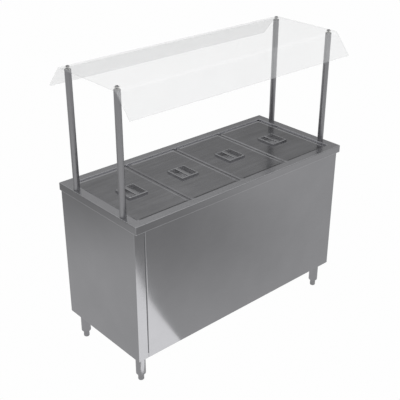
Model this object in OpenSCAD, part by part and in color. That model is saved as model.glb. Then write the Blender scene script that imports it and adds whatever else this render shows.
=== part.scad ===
// Buffet serving counter with four lidded wells and a four-post sneeze guard.
// Millimetres. +X runs along the counter, +Y points to the operator's side, +Z is up.
// The origin lies on the floor, under the centre of the counter top.

/* [Counter] */
// Height of the counter top above the floor
counter_h = 930; // [900:1:960]
// Length of the counter top, end to end
top_l = 1430; // [1424:1:1460]
// Depth of the counter top, front to back
top_d = 628; // [624:1:650]
// Height of the downturned edge of the counter top
apron_h = 42; // [30:1:50]
// Thickness of the stainless steel sheet
sheet_t = 1.5; // [1:0.1:2]
// Overhang of the counter top past each end of the cabinet
end_overhang = 3; // [2:0.5:6]
// Overhang of the counter top past the front of the cabinet
front_overhang = 20; // [12:1:24]
// Overhang of the counter top past the rear of the cabinet
rear_overhang = 10; // [8:1:14]
// Height of the gap between the floor and the cabinet
leg_gap = 162; // [150:1:180]
// Width of the left end panel where it wraps onto the front
front_return = 60; // [40:1:80]
// Width of the end panels where they wrap onto the rear
rear_return = 40; // [30:1:50]
// Width of the gap between the left end panel and the front panel
seam = 2; // [1:0.5:14]

/* [Wells] */
// Distance between the centres of neighbouring wells
well_pitch = 332.5; // [330:0.5:336]
// Width of a food pan over its flange
pan_w = 325; // [323:1:326]
// Length of a food pan over its flange
pan_l = 530; // [528:1:530]
// Depth of a food pan
pan_depth = 150; // [100:1:160]
// Depth from the counter top to the ledge that carries the pans
ledge_drop = 14; // [12:1:18]
// Depth of the water tank below the ledge
tank_depth = 200; // [190:1:210]

/* [Lids] */
// Width of a lid handle frame
handle_w = 115; // [100:1:130]
// Length of a lid handle frame
handle_l = 124; // [110:1:160]
// Width of the strap across a lid handle
strap_w = 22; // [16:1:30]
// Depth of the finger cup under a lid handle
cup_depth = 20; // [12:1:30]

/* [Sneeze guard] */
// Height of the top of the guard above the counter top
guard_h = 622; // [560:1:650]
// Length of the guard panel
guard_l = 1440; // [1424:1:1460]
// Depth of the guard between its two fold lines
guard_flat = 442; // [436:1:450]
// Run of each folded wing, measured level
wing_run = 93; // [60:1:96]
// Fall of each folded wing, measured upright
wing_fall = 111; // [60:1:130]
// Thickness of the clear guard panel
panel_t = 8; // [5:0.5:10]
// Outside diameter of a post
post_d = 32; // [28:0.5:34]
// Distance between the front and the rear posts
post_pitch_y = 378; // [360:1:382]
// Length of a post below the counter top
post_tail = 80; // [60:1:90]

/* [Legs] */
// Outside diameter of a leg
leg_d = 51; // [45:0.5:54]
// Distance from a leg's centre to the end of the cabinet
leg_inset_x = 50; // [46:1:70]
// Distance from a leg's centre to the front or rear of the cabinet
leg_inset_y = 55; // [52:1:70]
// Outside diameter of an adjustable foot
foot_d = 31; // [26:0.5:34]
// Length of foot that shows below the leg
foot_show = 40; // [30:1:50]

/* [Hidden] */

$fn = 48;
cut = 1;                 // how far a cut runs past the face it opens
hole_gap = 0.2;          // clearance around a fixed fitting in its hole
well_count = 4;
steel = "silver";
bright = "gainsboro";
dark = "dimgray";
black = [0.15, 0.15, 0.15];
nylon = [0.85, 0.85, 0.82];

// Counter top and tank
under_top = counter_h - sheet_t;
well_l = well_count * well_pitch;
well_d = pan_l + 2;
ledge_z = counter_h - ledge_drop;
ledge_w = 11;
tank_l = well_l - 2 * ledge_w;
tank_d = well_d - 2 * ledge_w;
tank_floor_z = ledge_z - tank_depth;
stiffener_l = 1200;
stiffener_w = 16;
stiffener_h = 26;
stiffener_gap = 3;
bar_w = 22;
bar_h = 15;

// Cabinet
body_x = top_l / 2 - end_overhang;
body_front = -top_d / 2 + front_overhang;
body_rear = top_d / 2 - rear_overhang;
body_bottom = leg_gap;
inner_x = body_x - sheet_t;
hem = 18;
hem_drop = 30;
shelf_rise = 28;
shelf_top = body_bottom + shelf_rise;
brace_x = 230;
brace_w = 40;
brace_h = 22;

// Posts and guard
post_x = (well_l / 2 + top_l / 2) / 2 + 1;
post_y = post_pitch_y / 2;
post_wall = 1.5;
post_bottom = under_top - post_tail + sheet_t;
guard_top = counter_h + guard_h;
guard_under = guard_top - panel_t;
washer_t = 1.5;
washer_d = 26;
post_top = guard_under - washer_t;
plug_taper = 3;
plug_tip_d = 26;
plug_spigot = 25;
clamp_bore = 8.2;
clamp_hole = 9;
knob_d = 16;
knob_h = 5;
knob_chamfer = 1.5;
stud_end = 4;
socket_wall = 2;
socket_gap = 0.2;
socket_plate_l = 60;
socket_plate_t = 3;
socket_floor = 3;
set_screw_d = 6;
set_screw_l = 10;
set_head_d = 11;
set_head_h = 5;
set_screw_z = 20;
bend_r = 24;
wing_angle = atan2(wing_fall, wing_run);

// Lids and pans
pan_t = 1;
pan_flange = 11;
pan_end_flange = 13.5;
pan_flange_r = 14;
pan_corner = 36;
pan_step = 3;
pan_step_z = 26;
lid_l = pan_l - 1;
lid_t = 1;
lid_z = ledge_z + pan_t;
lid_h = 7;
lid_border = 18;
lid_corner = 10;
lid_sink = 2;
field_z = lid_z + lid_h - lid_sink;
handle_rise = 10;
handle_rail = 9;
cup_t = 1;
cup_gap = 0.2;
strap_t = 3;

// Rear face
panel_inset = 14;
panel_y = body_rear - panel_inset;
rail_drop = 16;
rear_rail_z = tank_floor_z - rail_drop;
channel_w = 17;
rib_t = 1.5;
rib_h = 13;
upper_rib_h = 17;
door_t = 14;
door_gap = (channel_w - door_t) / 2;
track_inset = 3;
track_rear = body_rear - track_inset;
track_depth = 2 * channel_w + 3 * rib_t;
door_overlap = 20;
door_skin = 1.2;
door_side_gap = 2.5;
door_l = inner_x - door_side_gap + door_overlap;
door_bottom = shelf_top + sheet_t + 1;
door_lift = 6;
door_top = rear_rail_z - sheet_t - door_lift;
pull_w = 34;
pull_h = 110;
pull_depth = 10;
pull_x = body_x - rear_return - 50;

// Controls
control_rise = 80;
control_z = rear_rail_z + control_rise;
knob_x = -520;
switch_x = -440;
lamp_x = -385;
lamp_d = 12;
box_x = -300;
shaft_d = 6;
shaft_l = 10;
shaft_gap = 1;
thermo_w = 40;
thermo_depth = 24;
dial_d = 44;
dial_top_d = 31;
dial_h = 16;
dial_gap = 1;
dial_bore_gap = 0.3;
skirt_h = 5;
grip_t = 6;
grip_l = 38;
grip_rise = 2;
switch_w = 20;
switch_h = 28;
switch_depth = 24;
bezel_rim = 3;
bezel_t = 2;
rocker_l = 24;
rocker_w = 12;
rocker_gap = 0.7;
rocker_room = 10;
rocker_back = 5;
rocker_foot = 4;
rocker_tip = 4.5;
rocker_dip = 2.2;
axle_inset = 2;
axle_d = 3;
axle_l = 13;
lamp_depth = 20;
lamp_rim_d = 16;
lamp_rim_t = 3;
lens_d = 10;
lens_h = 3;
box_w = 90;
box_h = 60;
box_depth = 26;
box_t = 3;

// Heater and drain
heater_d = 8.5;
heater_rise = 19;
heater_z = tank_floor_z + heater_rise;
heater_y = 80;
heater_bend_x = 480;
heater_tail = 20;
clip_x = [-420, 0, 400];
clip_w = 8;
clip_l = 18;
nut_d = 18;
nut_h = 7;
drain_x = 560;
drain_y = 170;
drain_bore = 22;
drain_hole = 30;
drain_rim_d = 46;
drain_rim_t = 3;
drain_nut_d = 44;
drain_nut_h = 10;
valve_drop = 32;
valve_top = tank_floor_z - valve_drop;
valve_h = 44;
valve_d = 40;
valve_z = valve_top - valve_h / 2;
pipe_d = 27;
pipe_bore = 20;
pipe_gap = 1;
pipe_bottom = 120;
hose_tail = 40;
hose_tail_d = 25;
neck_d = 16;
neck_l = 6;
stem_d = 9;
stem_l = 16;
stem_gap = 0.3;
stem_out = 14;
lever_y = drain_y + valve_d / 2 + stem_out;
lever_w = 16;
lever_l = 90;
lever_t = 4;
hub_d = 20;
gland_x = -600;
gland_y = 190;
gland_d = 20;
gland_nut_d = 27;
gland_bore = 10;
gland_tail = 14;
gland_nut_h = 6;

// Legs and feet
leg_x = body_x - leg_inset_x;
leg_front_y = body_front + leg_inset_y;
leg_rear_y = body_rear - leg_inset_y;
leg_plate = 80;
leg_plate_t = 3;
leg_top = shelf_top - sheet_t;
leg_wall = 1.5;
foot_gap = 0.3;
foot_sleeve = 22;
leg_insert = 20;
stud_d = 12;
stud_top = 130;
nut_plate_z = 96;
nut_plate_t = 6;
bolt_d = 8;
bolt_head_d = 14;
bolt_head_h = 5;
bolt_pitch = 60;

posts_at = [[-post_x, -post_y], [post_x, -post_y], [-post_x, post_y], [post_x, post_y]];
legs_at = [[-leg_x, leg_front_y], [leg_x, leg_front_y], [-leg_x, leg_rear_y], [leg_x, leg_rear_y]];

// Centre of well number i, counted from 1 at the left end
function well_x(i) = (i - (well_count + 1) / 2) * well_pitch;

// Box given by its lower and upper corners
module span(a, b) {
    translate(a) cube(b - a);
}

// Flat rectangle with round corners, centred
module rounded(w, l, r) {
    square([w - 2 * r, l], center = true);
    square([w, l - 2 * r], center = true);
    for (sx = [-1, 1], sy = [-1, 1])
        translate([sx * (w / 2 - r), sy * (l / 2 - r)]) circle(r = r);
}

// Slab of a rounded rectangle between two heights
module slab(w, l, r, z0, z1) {
    translate([0, 0, z0]) linear_extrude(z1 - z0) rounded(w, l, r);
}

// Rectangular frame, centred, between two heights
module frame(outer, inner, z0, z1) {
    translate([0, 0, z0]) linear_extrude(z1 - z0) difference() {
        square(outer, center = true);
        square(inner, center = true);
    }
}

// Upright cylinder between two heights
module rod(d, z0, z1) {
    translate([0, 0, z0]) cylinder(d = d, h = z1 - z0);
}

// Cylinder lying along +Y between two depths
module rod_y(d, y0, y1) {
    translate([0, y0, 0]) rotate([-90, 0, 0]) cylinder(d = d, h = y1 - y0);
}

// ---------------------------------------------------------------- sneeze guard

// Filled outline of the guard down to one of its faces: the outer one has radius r = bend_r
module guard_outline(r, reach) {
    bend_tangent = bend_r * tan(wing_angle / 2);
    flat = guard_flat / 2 - bend_tangent;
    wing_len = norm([wing_run, wing_fall]) - bend_tangent;
    translate([0, guard_top - bend_r]) {
        translate([-flat, -reach]) square([2 * flat, r + reach]);
        for (side = [0, 1]) mirror([side, 0]) translate([flat, 0]) {
            intersection() {
                circle(r = r);
                translate([-r, 0]) square(2 * r);
            }
            rotate(-wing_angle) translate([0, -reach]) square([wing_len + reach, r + reach]);
        }
    }
}

module guard_panel() {
    color([0.85, 0.92, 0.95, 0.4]) difference() {
        translate([-guard_l / 2, 0, 0]) rotate([90, 0, 90]) linear_extrude(guard_l) difference() {
            guard_outline(bend_r, 0);
            guard_outline(bend_r - panel_t, cut);
        }
        for (p = posts_at)
            translate(p) rod(clamp_hole, guard_under - cut, guard_top + cut);
    }
}

// Tube from the socket floor to the taper of its plug
module post(p) {
    color(steel) translate(p) difference() {
        rod(post_d, post_bottom, post_top - plug_taper);
        rod(post_d - 2 * post_wall, post_bottom - cut, post_top - plug_taper + cut);
    }
}

module post_plugs() {
    taper_z = post_top - plug_taper;
    color(steel) for (p = posts_at) translate(p) difference() {
        union() {
            translate([0, 0, taper_z]) cylinder(d1 = post_d, d2 = plug_tip_d, h = plug_taper);
            rod(post_d - 2 * post_wall, taper_z - plug_spigot, taper_z);
        }
        rod(clamp_bore, taper_z - plug_spigot - cut, post_top + cut);
    }
}

module panel_washers() {
    color(nylon) for (p = posts_at, z = [post_top, guard_top]) translate(p) difference() {
        rod(washer_d, z, z + washer_t);
        rod(clamp_hole, z - cut, z + washer_t + cut);
    }
}

module clamp_knobs() {
    seat = guard_top + washer_t;
    shoulder = seat + knob_h - knob_chamfer;
    color(steel) for (p = posts_at) translate(p) {
        rod(knob_d, seat, shoulder);
        translate([0, 0, shoulder])
            cylinder(d1 = knob_d, d2 = knob_d - 2 * knob_chamfer, h = knob_chamfer);
        rod(clamp_bore - hole_gap, post_top - plug_taper - plug_spigot + stud_end, seat);
    }
}

// Cup under the counter top that takes the tail of a post
module post_sockets() {
    outer = post_d + 2 * (socket_wall + socket_gap);
    color(dark) for (p = posts_at) translate(p) difference() {
        union() {
            span([-outer / 2, -socket_plate_l / 2, under_top - socket_plate_t],
                [outer / 2, socket_plate_l / 2, under_top]);
            rod(outer, post_bottom - socket_floor, under_top);
        }
        rod(post_d + 2 * socket_gap, post_bottom, under_top + cut);
        translate([0, 0, post_bottom + set_screw_z]) mirror([0, p[1] > 0 ? 1 : 0, 0])
            rod_y(set_screw_d, post_d / 2 - cut, outer / 2 + cut);
    }
}

module socket_screws() {
    neck = post_d / 2 + set_screw_l;
    color(dark) for (p = posts_at) translate([p[0], p[1], post_bottom + set_screw_z])
        mirror([0, p[1] > 0 ? 1 : 0, 0]) {
            rod_y(set_screw_d, post_d / 2, neck);
            rod_y(set_head_d, neck, neck + set_head_h);
        }
}

// ---------------------------------------------------------------- counter top and wells

module counter_top() {
    inside = [top_l - 2 * sheet_t, top_d - 2 * sheet_t];
    well = [well_l, well_d];
    wall = [well_l + 2 * sheet_t, well_d + 2 * sheet_t];
    color(steel) difference() {
        union() {
            frame([top_l, top_d], well, under_top, counter_h);
            frame([top_l, top_d], inside, counter_h - apron_h, counter_h);
            frame(wall, well, ledge_z, counter_h);
        }
        for (p = posts_at)
            translate(p) rod(post_d + 2 * socket_gap, under_top - cut, counter_h + cut);
    }
}

// Channels under the front and rear margins
module top_stiffeners() {
    half = stiffener_l / 2;
    depth = stiffener_h;
    w = stiffener_w;
    inner_y = well_d / 2 + sheet_t + stiffener_gap;
    color(dark) for (y = [-inner_y - w, inner_y]) difference() {
        span([-half, y, under_top - depth], [half, y + w, under_top]);
        span([-half - cut, y + sheet_t, under_top - depth - cut],
            [half + cut, y + w - sheet_t, under_top - sheet_t]);
    }
}

module water_tank() {
    wall = [tank_l + 2 * sheet_t, tank_d + 2 * sheet_t];
    color(steel) difference() {
        union() {
            frame([well_l + 2 * sheet_t, well_d + 2 * sheet_t], [tank_l, tank_d],
                ledge_z - sheet_t, ledge_z);
            frame(wall, [tank_l, tank_d], tank_floor_z - sheet_t, ledge_z);
            span([-wall[0] / 2, -wall[1] / 2, tank_floor_z - sheet_t],
                [wall[0] / 2, wall[1] / 2, tank_floor_z]);
        }
        translate([drain_x, drain_y, 0])
            rod(drain_hole + 2 * hole_gap, tank_floor_z - sheet_t - cut, tank_floor_z + cut);
        for (s = [-1, 1]) translate([-tank_l / 2 - sheet_t - cut, s * heater_y, heater_z])
            rotate([0, 90, 0]) cylinder(d = heater_d + 2 * hole_gap, h = sheet_t + 2 * cut);
    }
}

// Inverted channels between the wells, level with the ledge
module pan_bars() {
    w = bar_w;
    h = bar_h;
    color(bright) for (i = [1:well_count - 1]) translate([(well_x(i) + well_x(i + 1)) / 2, 0, 0])
        difference() {
            span([-w / 2, -tank_d / 2, ledge_z - h], [w / 2, tank_d / 2, ledge_z]);
            span([-w / 2 + sheet_t, -tank_d / 2 - cut, ledge_z - h - cut],
                [w / 2 - sheet_t, tank_d / 2 + cut, ledge_z - sheet_t]);
        }
}

// Food pan with a level flange and a stacking step
module pan(i) {
    w = pan_w - 2 * pan_flange;
    l = pan_l - 2 * pan_end_flange;
    floor_z = ledge_z + pan_t - pan_depth;
    step_z = ledge_z - pan_step_z;
    low_w = w - 2 * pan_step;
    low_l = l - 2 * pan_step;
    color(bright) translate([well_x(i), 0, 0]) difference() {
        union() {
            slab(pan_w, pan_l, pan_flange_r, ledge_z, ledge_z + pan_t);
            slab(w, l, pan_corner, step_z, ledge_z + pan_t);
            slab(low_w, low_l, pan_corner, floor_z, step_z + pan_t);
        }
        slab(w - 2 * pan_t, l - 2 * pan_t, pan_corner - pan_t, step_z + pan_t, ledge_z + pan_t + cut);
        slab(low_w - 2 * pan_t, low_l - 2 * pan_t, pan_corner - pan_t,
            floor_z + pan_t, step_z + pan_t + cut);
    }
}

// Shallow inverted tray with a sunk field and an opening for its handle
module lid(i) {
    r = lid_corner;
    top = lid_z + lid_h;
    field_under = field_z - lid_t;
    inset = lid_border - lid_t;
    cup = [handle_w - 2 * handle_rail + 2 * cup_t, handle_l - 2 * handle_rail + 2 * cup_t];
    color(steel) translate([well_x(i), 0, 0]) difference() {
        slab(pan_w, lid_l, r, lid_z, top);
        slab(pan_w - 2 * lid_t, lid_l - 2 * lid_t, r - lid_t, lid_z - cut, field_under);
        difference() {
            slab(pan_w - 2 * lid_t, lid_l - 2 * lid_t, r - lid_t, field_under - cut, top - lid_t);
            slab(pan_w - 2 * inset, lid_l - 2 * inset, r, field_under - 2 * cut, top);
        }
        slab(pan_w - 2 * lid_border, lid_l - 2 * lid_border, r - lid_t, field_z, top + cut);
        translate([0, 0, field_under - cut]) linear_extrude(lid_t + 2 * cut) square(cup, center = true);
    }
}

// Raised frame, strap and finger cup of a lid
module lid_handle(i) {
    top = field_z + handle_rise;
    well = [handle_w - 2 * handle_rail, handle_l - 2 * handle_rail];
    cup = [well[0] + 2 * cup_t - 2 * cup_gap, well[1] + 2 * cup_t - 2 * cup_gap];
    color(bright) translate([well_x(i), 0, 0]) {
        frame([handle_w, handle_l], well, field_z, top);
        frame(cup, well, field_z - cup_depth, field_z + cut);
        span([-cup[0] / 2, -cup[1] / 2, field_z - cup_depth - cup_t],
            [cup[0] / 2, cup[1] / 2, field_z - cup_depth]);
        span([-strap_w / 2, -well[1] / 2 - cup_t, top - strap_t],
            [strap_w / 2, well[1] / 2 + cup_t, top]);
    }
}

// ---------------------------------------------------------------- cabinet

// Left end sheet, which wraps onto the front and the rear
module left_end_panel() {
    color(steel) {
        span([-body_x, body_front, body_bottom], [-inner_x, body_rear, under_top]);
        span([-body_x, body_front, body_bottom],
            [-body_x + front_return, body_front + sheet_t, under_top]);
        span([-body_x + front_return - sheet_t, body_front, shelf_top],
            [-body_x + front_return, body_front + hem, under_top]);
        span([-body_x, body_rear - sheet_t, body_bottom],
            [-body_x + rear_return, body_rear, under_top]);
    }
}

// Right end sheet, which stops behind the front panel
module right_end_panel() {
    color(steel) {
        span([inner_x, body_front + sheet_t, body_bottom], [body_x, body_rear, under_top]);
        span([body_x - rear_return, body_rear - sheet_t, body_bottom],
            [body_x, body_rear, under_top]);
    }
}

// Front sheet from the groove to the right corner, hemmed at both ends
module front_panel() {
    left = -body_x + front_return + seam;
    color(steel) {
        span([left, body_front, body_bottom], [body_x, body_front + sheet_t, under_top]);
        for (x = [left, inner_x - sheet_t])
            span([x, body_front, shelf_top], [x + sheet_t, body_front + hem, under_top - hem_drop]);
    }
}

module bottom_shelf() {
    front = body_front + sheet_t;
    rear = body_rear - sheet_t;
    color(steel) difference() {
        span([-inner_x, front, body_bottom], [inner_x, rear, shelf_top]);
        span([-inner_x + sheet_t, front + sheet_t, body_bottom - cut],
            [inner_x - sheet_t, rear - sheet_t, shelf_top - sheet_t]);
        translate([drain_x, drain_y, 0])
            rod(pipe_d + 2 * pipe_gap, shelf_top - sheet_t - cut, shelf_top + cut);
        translate([gland_x, gland_y, 0])
            rod(gland_d + 2 * hole_gap, shelf_top - sheet_t - cut, shelf_top + cut);
        leg_bolt_places() rod(bolt_d + 2 * hole_gap, shelf_top - sheet_t - cut, shelf_top + cut);
    }
}

// Two channels that stiffen the shelf from below
module shelf_braces() {
    w = brace_w;
    h = brace_h;
    front = body_front + 2 * sheet_t;
    rear = body_rear - 2 * sheet_t;
    z1 = shelf_top - sheet_t;
    color(dark) for (x = [-brace_x, brace_x]) difference() {
        span([x - w / 2, front, z1 - h], [x + w / 2, rear, z1]);
        span([x - w / 2 + sheet_t, front - cut, z1 - h + sheet_t],
            [x + w / 2 - sheet_t, rear + cut, z1 + cut]);
    }
}

// ---------------------------------------------------------------- controls

module control_panel() {
    color(steel) difference() {
        union() {
            span([-inner_x, panel_y - sheet_t, rear_rail_z], [inner_x, panel_y, under_top]);
            span([-inner_x, track_rear - track_depth, rear_rail_z],
                [inner_x, track_rear, rear_rail_z + sheet_t]);
        }
        translate([knob_x, 0, control_z])
            rod_y(shaft_d + 2 * shaft_gap, panel_y - sheet_t - cut, panel_y + cut);
        translate([lamp_x, 0, control_z])
            rod_y(lamp_d + 2 * hole_gap, panel_y - sheet_t - cut, panel_y + cut);
        span([switch_x - switch_w / 2, panel_y - sheet_t - cut, control_z - switch_h / 2],
            [switch_x + switch_w / 2, panel_y + cut, control_z + switch_h / 2]);
    }
}

module thermostat() {
    back = panel_y - sheet_t;
    color(dark) {
        span([knob_x - thermo_w / 2, back - thermo_depth, control_z - thermo_w / 2],
            [knob_x + thermo_w / 2, back, control_z + thermo_w / 2]);
        translate([knob_x, 0, control_z]) rod_y(shaft_d, back - cut, panel_y + shaft_l);
    }
}

module thermostat_knob() {
    skirt_y = panel_y + dial_gap + skirt_h;
    color(black) translate([knob_x, 0, control_z]) difference() {
        union() {
            rod_y(dial_d, panel_y + dial_gap, skirt_y);
            rod_y(dial_top_d, skirt_y, panel_y + dial_h);
            span([-grip_t / 2, skirt_y, -grip_l / 2], [grip_t / 2, panel_y + dial_h + grip_rise, grip_l / 2]);
        }
        rod_y(shaft_d + 2 * dial_bore_gap, panel_y, panel_y + shaft_l + dial_gap);
    }
}

// Housing of the rocker switch, open towards the operator
module power_switch() {
    color(black) translate([switch_x, 0, control_z]) difference() {
        union() {
            span([-switch_w / 2, panel_y - switch_depth, -switch_h / 2], [switch_w / 2, panel_y, switch_h / 2]);
            span([-switch_w / 2 - bezel_rim, panel_y, -switch_h / 2 - bezel_rim],
                [switch_w / 2 + bezel_rim, panel_y + bezel_t, switch_h / 2 + bezel_rim]);
        }
        span([-rocker_w / 2 - rocker_gap, panel_y - rocker_room, -rocker_l / 2 - rocker_gap],
            [rocker_w / 2 + rocker_gap, panel_y + bezel_t + cut, rocker_l / 2 + rocker_gap]);
    }
}

// Rocker that tips on an axle along X
module switch_rocker() {
    half = rocker_l / 2 - 1;
    color("darkgreen") translate([switch_x, panel_y - axle_inset, control_z]) {
        translate([-rocker_w / 2, 0, 0]) rotate([90, 0, 90]) linear_extrude(rocker_w)
            polygon([[-rocker_back, -rocker_foot], [1, -half], [rocker_tip, -half], [rocker_dip, 0],
                [rocker_tip, half], [1, half], [-rocker_back, rocker_foot]]);
        translate([-axle_l / 2, 0, 0]) rotate([0, 90, 0]) cylinder(d = axle_d, h = axle_l);
    }
}

module pilot_lamp() {
    color("orangered") translate([lamp_x, 0, control_z]) {
        rod_y(lamp_d, panel_y - lamp_depth, panel_y);
        rod_y(lamp_rim_d, panel_y, panel_y + lamp_rim_t);
        rod_y(lens_d, panel_y + lamp_rim_t, panel_y + lamp_rim_t + lens_h);
    }
}

module terminal_box() {
    back = panel_y - sheet_t;
    color(dark) difference() {
        span([box_x - box_w / 2, back - box_depth, control_z - box_h / 2],
            [box_x + box_w / 2, back, control_z + box_h / 2]);
        span([box_x - box_w / 2 + box_t, back - box_depth + box_t, control_z - box_h / 2 + box_t],
            [box_x + box_w / 2 - box_t, back + cut, control_z + box_h / 2 - box_t]);
    }
}

module cable_gland() {
    color(black) translate([gland_x, gland_y, 0]) difference() {
        union() {
            rod(gland_d, shelf_top - sheet_t - gland_tail, shelf_top);
            rod(gland_nut_d, shelf_top - sheet_t - gland_nut_h, shelf_top - sheet_t);
            rod(gland_nut_d, shelf_top, shelf_top + gland_nut_h);
        }
        rod(gland_bore, shelf_top - sheet_t - gland_tail - cut, shelf_top + gland_nut_h + cut);
    }
}

// ---------------------------------------------------------------- heater and drain

// Hairpin tube on the floor of the tank, with both ends through the left wall
module heating_element() {
    start = -tank_l / 2 - sheet_t - heater_tail;
    color(dark) translate([0, 0, heater_z]) {
        for (s = [-1, 1]) translate([start, s * heater_y, 0])
            rotate([0, 90, 0]) cylinder(d = heater_d, h = heater_bend_x - start);
        translate([heater_bend_x, 0, 0]) rotate([0, 0, -90]) rotate_extrude(angle = 180)
            translate([heater_y, 0]) circle(d = heater_d);
    }
}

module element_clips() {
    color(steel) for (x = clip_x, s = [-1, 1]) translate([x, s * heater_y, 0]) difference() {
        span([-clip_w / 2, -clip_l / 2, tank_floor_z], [clip_w / 2, clip_l / 2, heater_z + clip_l / 2]);
        translate([-clip_w / 2 - cut, 0, heater_z])
            rotate([0, 90, 0]) cylinder(d = heater_d, h = clip_w + 2 * cut);
    }
}

module element_nuts() {
    wall_x = -tank_l / 2;
    color("goldenrod") for (s = [-1, 1], x = [wall_x, wall_x - sheet_t - nut_h])
        translate([x, s * heater_y, heater_z]) rotate([0, 90, 0]) difference() {
            cylinder(d = nut_d, h = nut_h);
            translate([0, 0, -cut]) cylinder(d = heater_d, h = nut_h + 2 * cut);
        }
}

module drain_fitting() {
    color("goldenrod") translate([drain_x, drain_y, 0]) difference() {
        union() {
            rod(drain_rim_d, tank_floor_z, tank_floor_z + drain_rim_t);
            rod(drain_hole, valve_top, tank_floor_z);
            rod(drain_nut_d, tank_floor_z - sheet_t - drain_nut_h, tank_floor_z - sheet_t);
        }
        rod(drain_bore, valve_top - cut, tank_floor_z + drain_rim_t + cut);
    }
}

module drain_valve() {
    color("goldenrod") translate([drain_x, drain_y, 0]) difference() {
        union() {
            rod(valve_d, valve_top - valve_h, valve_top);
            translate([0, 0, valve_z]) rod_y(neck_d, valve_d / 2 - neck_l, valve_d / 2 + neck_l);
        }
        rod(drain_bore, valve_top - valve_h - cut, valve_top + cut);
        translate([0, 0, valve_z])
            rod_y(stem_d + 2 * stem_gap, valve_d / 2 - neck_l + 2, valve_d / 2 + neck_l + cut);
    }
}

// Quarter-turn lever with its stem
module drain_lever() {
    color("firebrick") translate([drain_x, lever_y, valve_z]) {
        rod_y(stem_d, -stem_l, 0);
        rod_y(hub_d, 0, lever_t);
        span([-lever_w / 2, 0, -lever_l], [lever_w / 2, lever_t, 0]);
    }
}

module drain_pipe() {
    color(bright) translate([drain_x, drain_y, 0]) difference() {
        union() {
            rod(hose_tail_d, pipe_bottom, pipe_bottom + hose_tail);
            rod(pipe_d, pipe_bottom + hose_tail, valve_top - valve_h);
        }
        rod(pipe_bore, pipe_bottom - cut, valve_top - valve_h + cut);
    }
}

// ---------------------------------------------------------------- sliding doors

// Tray-shaped door with a pressed finger pull near its outer edge
module door(x0, y0, grip_x) {
    z0 = door_bottom;
    z1 = door_top;
    skin = door_skin;
    mid_z = (z0 + z1) / 2;
    px = pull_w / 2;
    pz = pull_h / 2;
    color(bright) difference() {
        union() {
            difference() {
                span([x0, y0, z0], [x0 + door_l, y0 + door_t, z1]);
                span([x0 + skin, y0 - cut, z0 + skin], [x0 + door_l - skin, y0 + door_t - skin, z1 - skin]);
            }
            span([grip_x - px - skin, y0 + door_t - pull_depth - skin, mid_z - pz - skin],
                [grip_x + px + skin, y0 + door_t, mid_z + pz + skin]);
        }
        span([grip_x - px, y0 + door_t - pull_depth, mid_z - pz],
            [grip_x + px, y0 + door_t + cut, mid_z + pz]);
    }
}

module door_left() {
    door(-inner_x + door_side_gap, track_rear - rib_t - door_gap - door_t, -pull_x);
}

module door_right() {
    y0 = track_rear - 2 * rib_t - channel_w - door_gap - door_t;
    door(inner_x - door_side_gap - door_l, y0, pull_x);
}

// Double channels above and below the doors
module door_tracks() {
    half = inner_x - 1;
    front = track_rear - track_depth;
    lower = shelf_top;
    upper = rear_rail_z;
    color(steel) {
        span([-half, front, lower], [half, track_rear, lower + sheet_t]);
        span([-half, front, upper - sheet_t], [half, track_rear, upper]);
        for (i = [0:2]) {
            y = front + i * (channel_w + rib_t);
            span([-half, y, lower], [half, y + rib_t, lower + sheet_t + rib_h]);
            span([-half, y, upper - sheet_t - upper_rib_h], [half, y + rib_t, upper]);
        }
    }
}

// ---------------------------------------------------------------- legs and feet

// Places of the bolts that hold the leg plates
module leg_bolt_places() {
    for (p = legs_at, sx = [-1, 1], sy = [-1, 1])
        translate([p[0] + sx * bolt_pitch / 2, p[1] + sy * bolt_pitch / 2, 0]) children();
}

// Tube with a top plate, a sleeve for the foot and a threaded plate above it
module leg(p) {
    chamfer = 3;
    inner = leg_d - 2 * leg_wall;
    color(steel) translate(p) difference() {
        union() {
            translate([0, 0, foot_show]) cylinder(d1 = leg_d - 2 * chamfer, d2 = leg_d, h = chamfer);
            rod(leg_d, foot_show + chamfer, leg_top);
            span([-leg_plate / 2, -leg_plate / 2, leg_top - leg_plate_t],
                [leg_plate / 2, leg_plate / 2, leg_top]);
        }
        rod(foot_d + 2 * foot_gap, foot_show - cut, foot_show + leg_insert + cut);
        rod(inner, foot_show + leg_insert, nut_plate_z);
        rod(stud_d + 2 * foot_gap, nut_plate_z - cut, nut_plate_z + nut_plate_t + cut);
        rod(inner, nut_plate_z + nut_plate_t, leg_top - leg_plate_t);
        for (sx = [-1, 1], sy = [-1, 1]) translate([sx * bolt_pitch / 2, sy * bolt_pitch / 2, 0])
            rod(bolt_d + 2 * hole_gap, leg_top - leg_plate_t - cut, leg_top + cut);
    }
}

// Foot that slides in the leg's sleeve on a threaded stud
module foot(p) {
    chamfer = 2;
    body_top = foot_show + foot_sleeve;
    color(steel) translate(p) {
        cylinder(d1 = foot_d - 2 * chamfer, d2 = foot_d, h = chamfer);
        rod(foot_d, chamfer, body_top);
        rod(stud_d, body_top, stud_top);
    }
}

module leg_bolts() {
    head_top = leg_top - leg_plate_t;
    color(bright) leg_bolt_places() {
        rod(bolt_d, head_top - cut, shelf_top);
        rod(bolt_head_d, head_top - bolt_head_h, head_top);
    }
}

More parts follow.
